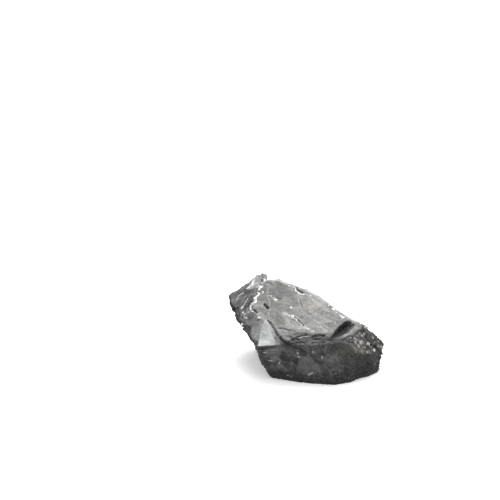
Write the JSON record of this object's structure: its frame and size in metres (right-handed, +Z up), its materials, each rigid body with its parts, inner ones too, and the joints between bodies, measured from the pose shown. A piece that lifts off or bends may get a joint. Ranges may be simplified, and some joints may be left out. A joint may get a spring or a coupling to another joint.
{
  "type": "aquarium rock",
  "caption": "Broken block of dark layered stone with a sloping slab top, raised crest, shell-shaped pocket and level foot, for an aquarium layout.",
  "frame": {"origin": "middle of the bounding box at the level foot", "axes": "+X to the right along the long side, +Y away from the steep front face, +Z up"},
  "size_m": [0.1642, 0.1224, 0.0875],
  "materials": {
    "stone": "satin"
  },
  "bodies": {
    "root": {"rock": "stone"}
  },
  "joints": []
}
